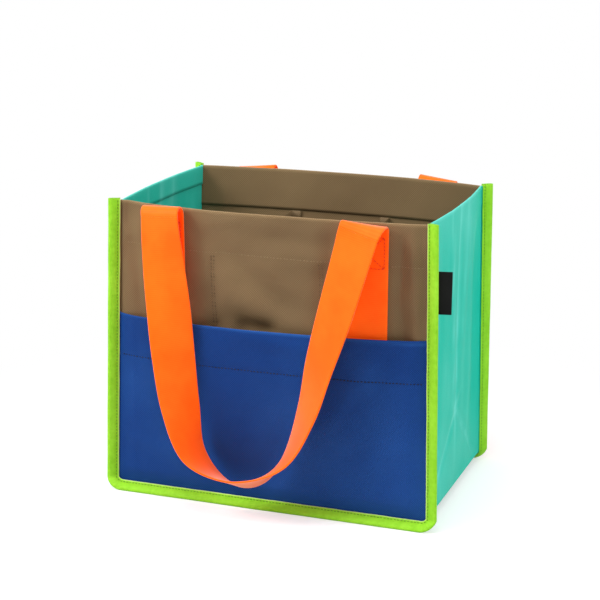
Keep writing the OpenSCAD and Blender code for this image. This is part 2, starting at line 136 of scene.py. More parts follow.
def oxford_cloth(name, face, deep, worn_and_lit):
    """Coated 600-denier polyester in plain weave: matt, with each thread's crown a little lighter than its
    hollows, which is painted shade.
    """
    made, tree = new_material(name)
    uv = add(tree, "ShaderNodeUVMap", {"uv_map": "UVMap"})
    # The real threads lie 0.55 mm apart, too fine for the render, so each pair is drawn 1.8 mm wide
    at = add(tree, "ShaderNodeVectorMath", {"operation": "SCALE", "Scale": UV_UNIT / 1.8},
             {0: uv.outputs[0]})
    xy = add(tree, "ShaderNodeSeparateXYZ", None, {0: at.outputs[0]})
    waves = []
    for axis in (0, 1):
        turn = add(tree, "ShaderNodeMath", {"operation": "MULTIPLY", 1: 2 * math.pi}, {0: xy.outputs[axis]})
        waves.append(add(tree, "ShaderNodeMath", {"operation": "SINE"}, {0: turn.outputs[0]}).outputs[0])
    over = add(tree, "ShaderNodeMath", {"operation": "MULTIPLY"}, {0: waves[0], 1: waves[1]})
    weave = add(tree, "ShaderNodeMath", {"operation": "MULTIPLY_ADD", 1: 0.5, 2: 0.5}, {0: over.outputs[0]})
    place = add(tree, "ShaderNodeTexCoord").outputs["Object"]
    cloud = add(tree, "ShaderNodeTexNoise", {"Scale": 9.0, "Detail": 3.0}, {"Vector": place})
    slub = add(tree, "ShaderNodeTexNoise", {"Scale": 420.0, "Detail": 2.0}, {"Vector": place})
    crown = add(tree, "ShaderNodeMix", {"data_type": "RGBA", "A": linear(deep), "B": linear(face)},
                {"Factor": weave.outputs[0]})
    patch = add(tree, "ShaderNodeMapRange", {"From Min": 0.42, "From Max": 0.72, "To Max": 0.3},
                {"Value": cloud.outputs[0]})
    # Folded edges and old creases are painted paler than the rest: a painted highlight along top edges, and
    # on the sides' creases partly rubbed wear and partly painted highlight
    wear_and_highlight_mask = add(tree, "ShaderNodeAttribute", {"attribute_name": "wear_and_highlight"})
    both = add(tree, "ShaderNodeMath", {"use_clamp": True}, {0: patch.outputs[0], 1: wear_and_highlight_mask.outputs["Fac"]})
    paled = add(tree, "ShaderNodeMix", {"data_type": "RGBA", "B": linear(worn_and_lit)},
                {"Factor": both.outputs[0], "A": crown.outputs["Result"]})
    rough = add(tree, "ShaderNodeMath", {"operation": "MULTIPLY_ADD", 1: 0.35},
                {0: slub.outputs[0], 2: weave.outputs[0]})
    finish_material(tree, paled.outputs["Result"], rough.outputs[0], distance=0.00022, strength=0.6,
                    shader={"Roughness": 0.5, "Specular IOR Level": 0.1})
    return made


def ribbed_tape(name, face, deep, edge, pitch, depth, rough, crumple, extra=None):
    """Woven polyester tape: fine ribs across its length, their hollows painted a little darker as shade,
    small dents from sewing, and a painted highlight along one edge.
    """
    made, tree = new_material(name)
    uv = add(tree, "ShaderNodeUVMap", {"uv_map": "UVMap"})
    xy = add(tree, "ShaderNodeSeparateXYZ", None, {0: uv.outputs[0]})
    along = add(tree, "ShaderNodeMath", {"operation": "MULTIPLY", 1: UV_UNIT / pitch * math.pi * 2},
                {0: xy.outputs[1]})
    ribs = add(tree, "ShaderNodeMath", {"operation": "SINE"}, {0: along.outputs[0]})
    level = add(tree, "ShaderNodeMapRange", {"From Min": -1.0, "From Max": 1.0}, {"Value": ribs.outputs[0]})
    place = add(tree, "ShaderNodeTexCoord").outputs["Object"]
    dents = add(tree, "ShaderNodeTexNoise", {"Scale": 260.0, "Detail": 3.0}, {"Vector": place})
    cloud = add(tree, "ShaderNodeTexNoise", {"Scale": 30.0, "Detail": 3.0}, {"Vector": place})
    both = add(tree, "ShaderNodeMath", {"operation": "MULTIPLY_ADD", 1: crumple},
               {0: dents.outputs[0], 2: cloud.outputs[0]})
    mixed = add(tree, "ShaderNodeMath", {"operation": "MULTIPLY_ADD", 1: 0.14},
                {0: level.outputs[0], 2: both.outputs[0]})
    tone = add(tree, "ShaderNodeMapRange",
               {"From Min": 0.42 + 0.35 * crumple, "From Max": 0.8 + 0.65 * crumple},
               {"Value": mixed.outputs[0]})
    colour = add(tree, "ShaderNodeMix", {"data_type": "RGBA", "A": linear(deep), "B": linear(face)},
                 {"Factor": tone.outputs[0]})
    # The painted highlight along the edge is 0.4 mm wide, and fades out over another 0.5 mm
    painted_highlight_rim = add(tree, "ShaderNodeMapRange", {"From Min": 0.9 / UV_UNIT, "From Max": 0.4 / UV_UNIT},
              {"Value": xy.outputs[0]})
    edge_highlighted = add(tree, "ShaderNodeMix", {"data_type": "RGBA", "B": linear(edge)},
                {"Factor": painted_highlight_rim.outputs[0], "A": colour.outputs["Result"]})
    height = add(tree, "ShaderNodeMath", {"operation": "MULTIPLY_ADD", 1: 4 * crumple},
                 {0: dents.outputs[0], 2: level.outputs[0]})
    shader = {"Roughness": rough, "Specular IOR Level": 0.1, "Sheen Weight": 0.1, "Sheen Roughness": 0.35}
    finish_material(tree, edge_highlighted.outputs["Result"], height.outputs[0], distance=depth, strength=0.5,
                    shader={**shader, **(extra or {})})
    return made


def sewing_thread(name, face, deep, extra=None):
    """Twisted polyester thread: slightly shiny, with its two plies winding round each other."""
    made, tree = new_material(name)
    uv = add(tree, "ShaderNodeUVMap", {"uv_map": "UVMap"})
    twist = add(tree, "ShaderNodeTexWave", {"Scale": 45.0, "bands_direction": "DIAGONAL"},
                {"Vector": uv.outputs[0]})
    colour = add(tree, "ShaderNodeMix", {"data_type": "RGBA", "A": linear(deep), "B": linear(face)},
                 {"Factor": twist.outputs["Fac"]})
    finish_material(tree, colour.outputs["Result"], twist.outputs["Fac"], distance=0.00005, strength=0.4,
                    shader={"Roughness": 0.5, "Specular IOR Level": 0.3, **(extra or {})})
    return made


def pressed_board(name, face, deep):
    """Extruded polypropylene sheet: dark grey, with a fine leathery grain and a dull shine."""
    made, tree = new_material(name)
    place = add(tree, "ShaderNodeTexCoord").outputs["Object"]
    grain = add(tree, "ShaderNodeTexVoronoi", {"Scale": 900.0}, {"Vector": place})
    cloud = add(tree, "ShaderNodeTexNoise", {"Scale": 25.0, "Detail": 4.0}, {"Vector": place})
    colour = add(tree, "ShaderNodeMix", {"data_type": "RGBA", "A": linear(deep), "B": linear(face)},
                 {"Factor": cloud.outputs[0]})
    finish_material(tree, colour.outputs["Result"], grain.outputs["Distance"], distance=0.0001, strength=0.4,
                    shader={"Roughness": 0.55, "Specular IOR Level": 0.4})
    return made


# Shapes of the bag, in millimetres above its bottom seams

def lerp(a, b, s):
    return a + (b - a) * s


def clamp(s):
    return min(1.0, max(0.0, s))


def smooth(s):
    s = clamp(s)
    return s * s * (3 - 2 * s)


def half_w(z):
    return lerp(BASE_W, MOUTH_W, z / HEIGHT) / 2


def bow(u, z):
    """How far a panel bows out, a little more on its left than on its right."""
    return PANEL_BOW * (max(z, 0) / HEIGHT) ** 1.2 * (1 - abs(u) ** 2.4) * (1 - BOW_SKEW * u)


def side_out(v, z):
    """How far a side bows out."""
    return SIDE_BOW * (max(z, 0) / HEIGHT) ** 1.2 * (1 - v * v)


def panel_y(x, z):
    return -DEPTH / 2 - bow(max(-1, min(1, x / half_w(z))), z)


POCKET_MORE = POCKET_BOW - PANEL_BOW * (POCKET_H / HEIGHT) ** 1.2 - LAYER - STRAP_ROOM


def pocket_off(u, z):
    """How far the pocket lies off the panel: room for the straps behind it, and more at its mouth."""
    sides = clamp((1 - abs(u)) * BASE_W / 28)
    return (LAYER + STRAP_ROOM * sides * clamp(z / END_LOW)
            + POCKET_MORE * (max(z, 0) / POCKET_H) ** 1.5 * (1 - abs(u) ** 2.4))


def crease(x, z, a, b, depth, width):
    """A soft fold along the line from a to b, which fades out a little beyond its ends."""
    beyond = 0.4
    ab = Vector(b) - Vector(a)
    ap = Vector((x, z)) - Vector(a)
    s = ap.dot(ab) / ab.length_squared
    off = abs(ap.x * ab.y - ap.y * ab.x) / ab.length
    if s < -beyond or s > 1 + beyond or off > 3 * width:
        return 0.0
    fade = smooth((s + beyond) / 0.6) * smooth((1 + beyond - s) / 0.6)
    return depth * fade * math.exp(-(off / width) ** 2)


def creases(x, z, folds):
    return sum(crease(x, z, *fold) for fold in folds)


def groove(distance, along, depth=0.3, width=0.9):
    """The line that stitches draw into cloth, deepest where the needle went in."""
    if abs(distance) > 3 * width:
        return 0.0
    pull = 0.7 + 0.3 * math.cos(2 * math.pi * along / STITCH)
    return -depth * pull * math.exp(-(distance / width) ** 2)


def puckers(x, distance, size, seed):
    """Small waves of the cloth along a line of stitches."""
    return size * math.exp(-(distance / 4) ** 2) * noise.noise(Vector((x / 5, 0, seed)))


# Where the sides are painted paler along fold lines, partly as rubbed wear and partly as painted highlight.
# A fold line has its ends (y, z), how pale it is and its width.

WORN_AND_LIT_FOLDS = [
    ((2, 230), (0, 66), 0.9, 2.6), ((-26, 226), (-12, 90), 0.35, 2.0), ((26, 228), (12, 130), 0.3, 2.6),
    ((0, 66), (-66, 8), 0.5, 3.0), ((0, 66), (60, 14), 0.4, 2.4),
]


def edge_highlight(top):
    """A painted highlight along a top edge at this height."""
    return lambda p: 0.45 * math.exp(-((p[2] - top) / 1.0) ** 2)


def side_wear_and_highlight(p):
    """How much paler the sides are drawn: fold lines from storing the bag folded flat, partly rubbed wear
    and partly painted highlight, random pale patches, more paleness towards the top, and the painted
    highlight along the top edge.
    """
    x, y, z = p
    on_base = z < FOLD_R or abs(x) < 100
    if on_base:
        return 0.0
    patchy = 0.7 + 0.6 * noise.noise(Vector((y / 9, z / 18, 5.0)))
    clouds = noise.noise(Vector((y / 16, z / 60, 8.0))) + 0.5 * noise.noise(Vector((y / 7, z / 30, 9.0)))
    clouds = 0.22 * clamp(0.1 + clouds)
    # Near the back seam the pale patches fade out below about 200 mm, which paints shade there
    clouds *= 1 - smooth((y - 30) / 25) * (1 - smooth((z - 170) / 40))
    top = 0.15 * smooth((z - 150) / 80)
    return clamp(1.4 * patchy * creases(y, z, WORN_AND_LIT_FOLDS) + clouds + top) + edge_highlight(HEIGHT)(p)


# Bound seams: a station is its root, the seam's direction, and the direction across its layers

def side_dir(turn, turn_top, z, side):
    a = math.radians(lerp(turn, turn_top, z / HEIGHT))
    return Vector((side * math.cos(a), -math.sin(a), 0))


DOWN_OUT = Vector((0, -math.sin(math.radians(BOTTOM_TURN)), -math.cos(math.radians(BOTTOM_TURN))))


def station(root, d, along):
    return Vector(root), d, d.cross(Vector(along)).normalized()


def side_station(z, turn, turn_top, side):
    return station((side * half_w(z), -DEPTH / 2, z), side_dir(turn, turn_top, z, side), (0, 0, side))


def corner_station(deg, turn, turn_top, side):
    c, s = math.cos(math.radians(deg)), math.sin(math.radians(deg))
    root = (side * (half_w(FOLD_R) - FOLD_R * (1 - c)), -DEPTH / 2, FOLD_R * (1 - s))
    out = (c * side_dir(turn, turn_top, 0, side) + s * DOWN_OUT).normalized()
    return station(root, out, (s, 0, side * c))


def bottom_station(u):
    return station((u * (half_w(0) - FOLD_R), -DEPTH / 2, 0), DOWN_OUT, (1, 0, 0))


def in_seam(s, along, across):
    return s[0] + along * s[1] + across * s[2]


def spread(low, high, step):
    count = max(1, round(abs(high - low) / step))
    return [lerp(low, high, i / count) for i in range(count + 1)]


def seam(turn, turn_top, top, step):
    """Stations down the left side, round the corner, along the bottom and up the right side."""
    heights = spread(FOLD_R, top, step)
    angles = [7.5 * i for i in range(1, 12)]
    return ([side_station(z, turn, turn_top, -1) for z in reversed(heights)]
            + [corner_station(a, turn, turn_top, -1) for a in angles]
            + [bottom_station(u) for u in spread(-1, 1, 2 * step / BASE_W)]
            + [corner_station(a, turn, turn_top, 1) for a in reversed(angles)]
            + [side_station(z, turn, turn_top, 1) for z in heights])


def turned(p):
    """The same point of the back half."""
    return Vector((-p[0], -p[1], p[2]))


def lengths_along(points):
    """How far along a line of points each of them lies."""
    gone = [0.0]
    for a, b in zip(points, points[1:]):
        gone.append(gone[-1] + (Vector(b) - Vector(a)).length)
    return gone


# Making meshes

def piece_from(name, points, faces, uvs, material, body, back=False, wear_and_highlight=None):
    """A mesh from points in millimetres. A piece of the back half is the front one turned half round."""
    data = bpy.data.meshes.new(name)
    place = [(turned(p) if back else Vector(p)) * MM + Vector((0, 0, LIFT * MM)) for p in points]
    data.from_pydata([tuple(p) for p in place], [], faces)
    layer = data.uv_layers.new(name="UVMap")
    for loop in data.loops:
        layer.data[loop.index].uv = uvs[loop.vertex_index]
    for polygon in data.polygons:
        polygon.use_smooth = True
    if wear_and_highlight:
        wear_and_highlight_mask = data.attributes.new("wear_and_highlight", "FLOAT", "POINT")
        for value, p in zip(wear_and_highlight_mask.data, points):
            value.value = wear_and_highlight(p)
    data.materials.append(material)
    data.validate()
    made = bpy.data.objects.new(name, data)
    bpy.context.collection.objects.link(made)
    if body:
        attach(made, body)
    return made


def sheet(name, grid, thickness, material, body="bag", back=False, wear_and_highlight=None):
    """Cloth through a grid of points, given its thickness to both sides."""
    rows, cols = len(grid), len(grid[0])
    points = [p for row in grid for p in row]
    faces = [(r * cols + c, r * cols + c + 1, (r + 1) * cols + c + 1, (r + 1) * cols + c)
             for r in range(rows - 1) for c in range(cols - 1)]
    u, v = lengths_along(grid[rows // 2]), lengths_along([row[cols // 2] for row in grid])
    uvs = [(u[c] / UV_UNIT, v[r] / UV_UNIT) for r in range(rows) for c in range(cols)]
    made = piece_from(name, points, faces, uvs, material, body, back, wear_and_highlight)
    shell = made.modifiers.new("thickness", "SOLIDIFY")
    shell.thickness = thickness * MM
    shell.offset = 0
    apply_modifiers(made)
    return made


def apply_modifiers(made):
    bpy.ops.object.select_all(action="DESELECT")
    made.select_set(True)
    bpy.context.view_layer.objects.active = made
    for modifier in list(made.modifiers):
        bpy.ops.object.modifier_apply(modifier=modifier.name)
    made.select_set(False)


def sweep(name, rings, material, body="bag", back=False):
    """A closed outline swept through its rings, with both ends closed."""
    count = len(rings[0])
    u, v = lengths_along(rings[0]), lengths_along([ring[0] for ring in rings])
    points = [p for ring in rings for p in ring]
    uvs = [(u[i] / UV_UNIT, v[k] / UV_UNIT) for k in range(len(rings)) for i in range(count)]
    faces = []
    for k in range(len(rings) - 1):
        for i in range(count):
            j = (i + 1) % count
            faces.append((k * count + i, k * count + j, (k + 1) * count + j, (k + 1) * count + i))
    faces.append(tuple(range(count - 1, -1, -1)))
    last = (len(rings) - 1) * count
    faces.append(tuple(last + i for i in range(count)))
    made = piece_from(name, points, faces, uvs, material, body, back)
    for edge in made.data.edges:
        low, high = sorted(edge.vertices)
        edge.use_edge_sharp = high < count or low >= last
    return made


# A stitch along its length: how far along it and how high over the cloth each ring is, and its radius
STITCH_RINGS = [
    (-0.36, -0.35, 0.16), (-0.29, 0.0, 0.30), (-0.12, 0.16, 0.32),
    (0.12, 0.16, 0.32), (0.29, 0.0, 0.30), (0.36, -0.35, 0.16),
]


def stitches(name, runs, material, body="bag", back=False, size=1.0):
    """Single stitches along lines of points. Each dips into the cloth where it starts and ends."""
    points, faces, uvs = [], [], []
    sides = 5
    for run in runs:
        steps = [(b[0] - a[0]).length for a, b in zip(run, run[1:])]
        length = sum(steps)
        count = max(1, round(length / STITCH))
        gone, k = 0.0, 0
        for n in range(count):
            want = length * (n + 0.5) / count
            while k < len(steps) - 1 and gone + steps[k] < want:
                gone += steps[k]
                k += 1
            s = (want - gone) / steps[k]
            at = run[k][0].lerp(run[k + 1][0], s)
            ahead = (run[k + 1][0] - run[k][0]).normalized()
            out = run[k][1].lerp(run[k + 1][1], s).normalized()
            side = ahead.cross(out).normalized()
            base = len(points)
            for along, rise, r in STITCH_RINGS:
                middle = at + ahead * along * STITCH + out * rise * size
                for i in range(sides):
                    a = 2 * math.pi * i / sides
                    points.append(middle + (side * math.cos(a) + out * math.sin(a)) * r * size)
                    uvs.append((i / sides, along))
            last = base + (len(STITCH_RINGS) - 1) * sides
            for low in range(base, last, sides):
                for i in range(sides):
                    j = (i + 1) % sides
                    faces.append((low + j, low + i, low + sides + i, low + sides + j))
            faces.append(tuple(base + i for i in range(sides)))
            faces.append(tuple(last + i for i in range(sides - 1, -1, -1)))
    return piece_from(name, points, faces, uvs, material, body, back)


# Panels and pocket

def across_places(step):
    """Places across a cloth, from -1 to 1, that lie closer together towards its seams."""
    return [math.sin(math.radians(a)) for a in spread(-90, 90, step)]


def panel_like(turn, turn_top, off_seam, detail, top_z=lambda u: HEIGHT, hem=HEM, offset=lambda u, z: 0.0):
    """Rows of a panel: its bottom flange, its face, the fold at its top edge and the hem inside."""
    us = across_places(1.5)
    shift_low = off_seam * math.tan(math.radians(BOTTOM_TURN / 2))
    top = top_z(0)
    grid = []

    def corner(a, depth, side):
        deg = 90 - 45 * a / depth if depth >= a else 45 * depth / a
        return in_seam(corner_station(deg, turn, turn_top, side), max(a, depth), off_seam)

    def face_row(z, inward, rise=0.0):
        # Inside the side seams the hem's fold is pressed to a quarter of its thickness
        pressed = Vector((0, inward * 0.25, rise))

        def in_side(side, along):
            return in_seam(side_station(z, turn, turn_top, side), along, off_seam) + pressed

        shift = off_seam * math.tan(math.radians(lerp(turn, turn_top, z / HEIGHT) / 2))
        row = [in_side(-1, a) for a in FLANGE]
        for u in us:
            if abs(u) > 0.99999:
                row.append(in_side(math.copysign(1, u), shift))
            else:
                x = u * half_w(z)
                edge = smooth((1 - abs(u)) * BASE_W / 2 / 6)
                y = -DEPTH / 2 - bow(u, z) - offset(u, z) - edge * detail(x, z) + inward
                row.append(Vector((x, y, z * top_z(u) / top + rise)))
        return row + [in_side(1, a) for a in reversed(FLANGE)]

    for depth in FLANGE:
        row = [corner(a, depth, -1) for a in FLANGE]
        row += [in_seam(bottom_station(u), shift_low + depth, off_seam) for u in us]
        grid.append(row + [corner(a, depth, 1) for a in reversed(FLANGE)])
    grid += [face_row(z, 0.0) for z in [0.0] + spread(1.5, top - HEM_R, 2.0)]
    for a in map(math.radians, (30, 60, 90, 120, 150)):
        grid.append(face_row(top - HEM_R, HEM_R * (1 - math.cos(a)), HEM_R * math.sin(a)))
    return grid + [face_row(z, 2 * HEM_R) for z in spread(top - HEM_R, top - hem - 1.5, 2.5)]


# Folds of the cloths: their ends, how far they stand out and their width. The ends are (x, z) on a panel
# or the pocket, and (y, z) on a side.

FRONT_FOLDS = [
    ((104, 216), (100, 182), -2.6, 8), ((100, 182), (109, 138), -2.4, 6), ((114, 216), (118, 150), 1.8, 5),
    ((50, 214), (56, 160), -2.0, 7), ((-32, 200), (20, 158), -2.4, 9), ((-50, 190), (-10, 160), 2.0, 12),
    ((-22, 142), (2, 139), -6.5, 8), ((-34, 150), (0, 144), -1.5, 9), ((0, 216), (52, 212), -2.2, 8),
    ((-52, 222), (-20, 228), 1.0, 6), ((-118, 228), (-106, 150), -1.2, 5),
]
BACK_FOLDS = [((100, 210), (118, 120), -1.2, 8), ((-30, 120), (50, 60), 1.0, 18)]
POCKET_FOLDS = [
    ((92, 132), (50, 70), 1.2, 9), ((112, 60), (60, 24), 1.0, 8),
    ((-114, 40), (-56, 20), 0.9, 8), ((-20, 138), (30, 132), 1.2, 8),
]
SIDE_FOLDS = [
    ((-26, 226), (-10, 90), 1.4, 7), ((32, 228), (14, 120), 1.1, 6),
    ((-50, 200), (-56, 60), -1.0, 7), ((40, 200), (38, 60), 0.8, 8),
]


def under_strap(x):
    """1 where a handle's sewn end lies on the panel and keeps it smooth, 0 away from it."""
    off = min(abs(x - LEFT_X), abs(x - RIGHT_X))
    return 1 - smooth((off - WEBBING_W / 2 - 2) / 8)


def beside_straps(x):
    return abs(x - LEFT_X) > WEBBING_W / 2 and abs(x - RIGHT_X) > WEBBING_W / 2


def divider_pull(x, z, stitched, hollow, width):
    """How the sewn dividers draw a panel in, at their stitch lines and around them."""
    d = 0.0
    for side in (-1, 1):
        off = x - side * DIVIDER_X
        if 20 < z < HEM_Z - 2:
            d += sum(groove(off - line * DIVIDER_LINES, z, stitched, 0.7) for line in (-0.5, 0.5))
        d -= hollow * math.exp(-(off / width) ** 2) * smooth((HEM_Z - z) / 12)
    return d


def slow_relief(x, z):
    """The gentle waves that the front panel and its pocket share."""
    return 0.9 * noise.noise(Vector((x / 50, z / 45, 3.1)))


def front_detail(x, z):
    """How far the front panel's cloth stands out from its even bow."""
    d = slow_relief(x, z)
    # Above the pocket the panel has larger waves
    bare = smooth((z - POCKET_H + 8) / 10)
    d += bare * 1.8 * noise.noise(Vector((x / 26, z / 20, 14.1)))
    d += 0.15 * noise.noise(Vector((x / 12, z / 12, 7.7)))
    d += creases(x, z, FRONT_FOLDS)
    d *= 1 - under_strap(x)
    if beside_straps(x):
        d += groove(z - HEM_Z, x, depth=0.5) + puckers(x, z - HEM_Z, size=0.25, seed=44.0)
    return d + divider_pull(x, z, stitched=0.55, hollow=1.3, width=4.5)


def back_detail(x, z):
    """How far the back panel's cloth stands out from its even bow."""
    d = 0.7 * noise.noise(Vector((x / 50, z / 50, 21.3))) + 0.15 * noise.noise(Vector((x / 14, z / 14, 9.7)))
    d += creases(x, z, BACK_FOLDS)
    d *= 1 - under_strap(x)
    if beside_straps(x):
        d += groove(z - HEM_Z, x)
    return d + divider_pull(x, z, stitched=0.32, hollow=0.5, width=6)


def pocket_detail(x, z):
    """How far the pocket's cloth stands out. Over a strap it has no hollows."""
    d = slow_relief(x, z) + 0.12 * noise.noise(Vector((x / 12, z / 12, 2.2)))
    d += 0.7 * noise.noise(Vector((x / 30, z / 26, 13.4))) * smooth(z / 20)
    d += creases(x, z, POCKET_FOLDS)
    d = lerp(d, max(d, 0), under_strap(x))
    off = z - (POCKET_H - POCKET_HEM)
    return d + groove(off, x, depth=0.8, width=1.1) + puckers(x, off, size=0.3, seed=61.0)


def pocket_top(u):
    """The height of the pocket's top edge, which rises a little to the right."""
    return POCKET_H + 0.4 + 1.4 * (u + 0.4 * u * u)


# Sides and base: one strip whose rows follow the front and back seams

def gusset_grid():
    top = HEIGHT - HEM_R
    vs = across_places(3.0)

    def row_at(front_at, back_at, inward=0.0, rise=0.0):
        back_at = [turned(p) for p in back_at]
        root_f, root_b = in_seam(front_at, 0, -LAYER), in_seam(back_at, 0, -LAYER)
        side = math.copysign(1, front_at[0].x)
        z = front_at[0].z
        up = Vector((0, 0, rise))
        # The hem's inner layer reaches only a fifth of the way into the seams
        reach = 0.2 if inward else 1.0
        row = [in_seam(front_at, a * reach, -LAYER) + up for a in FLANGE]
        for v in vs:
            p = root_f.lerp(root_b, (v + 1) / 2) + up
            edge = smooth((1 - abs(v)) * DEPTH / 2 / 6)
            if z >= FOLD_R:
                p.x += side * (side_out(v, z) + edge * side_detail(p.y, z, side)) - side * inward
            elif abs(front_at[0].x) < half_w(0) - FOLD_R - 0.01:
                p.z += edge * base_detail(p.x, p.y)
            row.append(p)
        return row + [in_seam(back_at, a * reach, -LAYER) + up for a in reversed(FLANGE)]

    def hem_rows(side):
        """The top edge's hem, from its raw edge inside the bag up and over to the outside."""
        places = [(z, 2 * HEM_R, 0.0) for z in spread(top - 16, top - 1, 3.0)]
        for a in map(math.radians, (150, 120, 90, 60, 30)):
            places.append((top, HEM_R * (1 - math.cos(a)), HEM_R * math.sin(a)))
        return [row_at(side_station(z, FRONT_TURN, FRONT_TURN, side),
                       side_station(z, BACK_TURN, BACK_TURN_TOP, -side), inward, rise)
                for z, inward, rise in places]

    front = seam(FRONT_TURN, FRONT_TURN, top, 2.5)
    back = seam(BACK_TURN, BACK_TURN_TOP, top, 2.5)
    rows = [row_at(f, b) for f, b in zip(front, reversed(back))]
    return hem_rows(-1) + rows + list(reversed(hem_rows(1)))


def side_detail(y, z, side):
    """Folds that remain where the sides were folded flat. The right side shows them more."""
    seed, middle, long = (31.0, -1.4, -3.5) if side > 0 else (57.0, -0.9, -1.5)
    d = 0.5 * noise.noise(Vector((y / 40, z / 60, seed)))
    d += 0.12 * noise.noise(Vector((y / 12, z / 20, seed + 4)))
    # Where the three sharp folds meet, the cloth lies in the deepest one
    d += min(crease(y, z, (2, 230), (0, 70), middle, 3.0),
             crease(y, z, (0, 64), (-70, 6), -1.2, 3.0),
             crease(y, z, (0, 64), (70, 6), -1.2, 3.0))
    d += crease(y, z, (66, 190), (64, 30), long, 12) + creases(y, z, SIDE_FOLDS)
    # The hem keeps the top edge straight
    return d * (1 - 0.8 * smooth((z - 195) / 30))


def base_detail(x, y):
    return 0.2 * noise.noise(Vector((x / 60, y / 60, 77.0)))


# Binding tape

def tape_rings(stations, seed):
    """Tape folded round the seam: its two inner edges, its crowned faces and its round outer edge."""
    h = SEAM_T / 2
    straight = SEAM_L - EDGE_R
    inside = h - TAPE
    channel = SEAM_L - TAPE - inside / 2
    rings = []
    for s, gone in zip(stations, lengths_along([s[0] for s in stations])):
        wave = 0.22 * noise.noise(Vector((gone / 22, seed, 0.3)))
        edge_in = BINDING_IN + 0.25 + 0.2 * noise.noise(Vector((gone / 15, seed, 5.1)))
        outer = []
        for a in (edge_in, edge_in + 0.7, NEEDLE_LINE - 0.5, NEEDLE_LINE, NEEDLE_LINE + 0.5,
                  NEEDLE_LINE + 1.5, 6.0, 7.4, straight):
            crown = 0.28 * math.sin(math.pi * clamp((a - NEEDLE_LINE) / (SEAM_L - NEEDLE_LINE)))
            crown += 0.12 * noise.noise(Vector((gone / 4, a / 3, seed + 9)))
            outer.append((a, h + crown + groove(a - NEEDLE_LINE, gone, depth=0.45, width=0.6)))
        arc = [(straight + EDGE_R * math.sin(t) + wave, (h + 0.02) * math.cos(t))
               for t in map(math.radians, (22, 45, 68, 90, 112, 135, 158))]
        under = [(a, -b) for a, b in reversed(outer)]
        inner = [(edge_in, -inside), (channel, -inside), (channel + inside * 0.4, 0), (channel, inside),
                 (edge_in, inside)]
        rings.append([in_seam(s, *p) for p in outer + arc + under + inner])
    return rings


def binding_run(turn, turn_top, side):
    """The binding's stitch line, on one of its two faces."""
    stations = seam(turn, turn_top, HEIGHT + BINDING_RISE - 1, 2.0)
    across = side * (SEAM_T / 2 - 0.15)
    return [(in_seam(s, NEEDLE_LINE, across), side * s[2]) for s in stations]


# Handles

def end_point(x0, s, z):
    x = x0 + s * WEBBING_W / 2
    return Vector((x, panel_y(x, z) - STRAP_LAYER, z))


# The loop from its left fold to its right one: share of the way across, distance forward of the fold,
# share of the drop, and turn of the webbing towards the bag's middle
LOOP_KEYS = [
    (0, 0, 0, 11), (0.027, 3, 0.17, -3), (0.058, 5, 0.348, -20), (0.084, 6, 0.526, -36),
    (0.12, 6.4, 0.718, -53), (0.187, 6.6, 0.9, -83), (0.352, 6.8, 0.994, -113), (0.51, 7, 0.978, -110),
    (0.673, 7.5, 0.856, -70), (0.768, 7.8, 0.678, -50), (0.825, 7.6, 0.5, -37), (0.895, 6.2, 0.304, -25),
    (0.9655, 2.6, 0.087, -17), (0.9915, 0.2, 0, -12),
]
# The right end's fold lies slanted and pressed flat: the slope at which the strap leaves it, and its height
RIGHT_SLOPE, RIGHT_RISE = 0.27, 5.5
# Each fold has turned this far where the loop starts, which still leads a little outward
FOLD_END = 173
LOOP_X = (LEFT_X + 1.2, RIGHT_X - 0.5)
LOOP_Y = -DEPTH / 2 - bow(LEFT_X / half_w(FOLD_Z), FOLD_Z) - STRAP_LAYER - FOLD_GAP


def loop_rows():
    """The hanging loop's rows: each is its middle and the direction across the webbing."""
    keys = [Vector((lerp(*LOOP_X, share), LOOP_Y - forward, FOLD_Z - LOOP_DROP * drop, turn))
            for share, forward, drop, turn in LOOP_KEYS]
    lead = Vector((0, 4, 30, 0))
    slanted = Vector((30 * RIGHT_SLOPE, 4, 30, 0))
    held = [keys[0] + lead] + keys + [keys[-1] + slanted]
    points = []
    steps = 12
    for a, b, c, d in zip(held, held[1:], held[2:], held[3:]):
        for t in (n / steps for n in range(steps)):
            points.append(0.5 * (2 * b + (c - a) * t + (2 * a - 5 * b + 4 * c - d) * t * t
                                 + (3 * b - a - 3 * c + d) * t * t * t))
    points.append(keys[-1])
    rows = []
    for k, p in enumerate(points):
        low, high = points[max(k - 1, 0)], points[min(k + 1, len(points) - 1)]
        ahead = (high.xyz - low.xyz).normalized()
        inward = ahead.cross(Vector((0, 1, 0))).normalized()
        forward = ahead.cross(inward)
        if forward.y > 0:
            forward = -forward
        turn = math.radians(p.w)
        rows.append((p.xyz, (math.cos(turn) * inward + math.sin(turn) * forward).normalized()))
    return rows


def edges_of(middle, across):
    """The webbing's two edges, half its width from its middle."""
    return middle - across * WEBBING_W / 2, middle + across * WEBBING_W / 2


def band(name, rows, material, body, back):
    """Webbing through rows of (left edge, right edge), flat between them, with round woven edges."""
    h = WEBBING_T / 2
    face = [(s, h * (0.93 + 0.07 * abs(s) ** 6)) for s in (-1, -0.94, -0.8, -0.5, 0, 0.5, 0.8, 0.94, 1)]
    rings = []
    for k, (left, right) in enumerate(rows):
        low, high = rows[max(k - 1, 0)], rows[min(k + 1, len(rows) - 1)]
        ahead = ((high[0] + high[1]) - (low[0] + low[1])).normalized()
        width = (right - left).normalized()
        normal = width.cross(ahead).normalized()
        middle = (left + right) / 2
        flat = (right - left).length / 2 - h
        ring = [(s * flat, rise) for s, rise in face]
        ring += [(flat + h * math.cos(a), h * math.sin(a)) for a in map(math.radians, (45, 0, -45))]
        ring += [(-s * flat, -rise) for s, rise in face]
        ring += [(-flat + h * math.cos(a), h * math.sin(a)) for a in map(math.radians, (-135, 180, 135))]
        rings.append([middle + width * p[0] + normal * p[1] for p in ring])
    return sweep(name, rings, material, body, back)


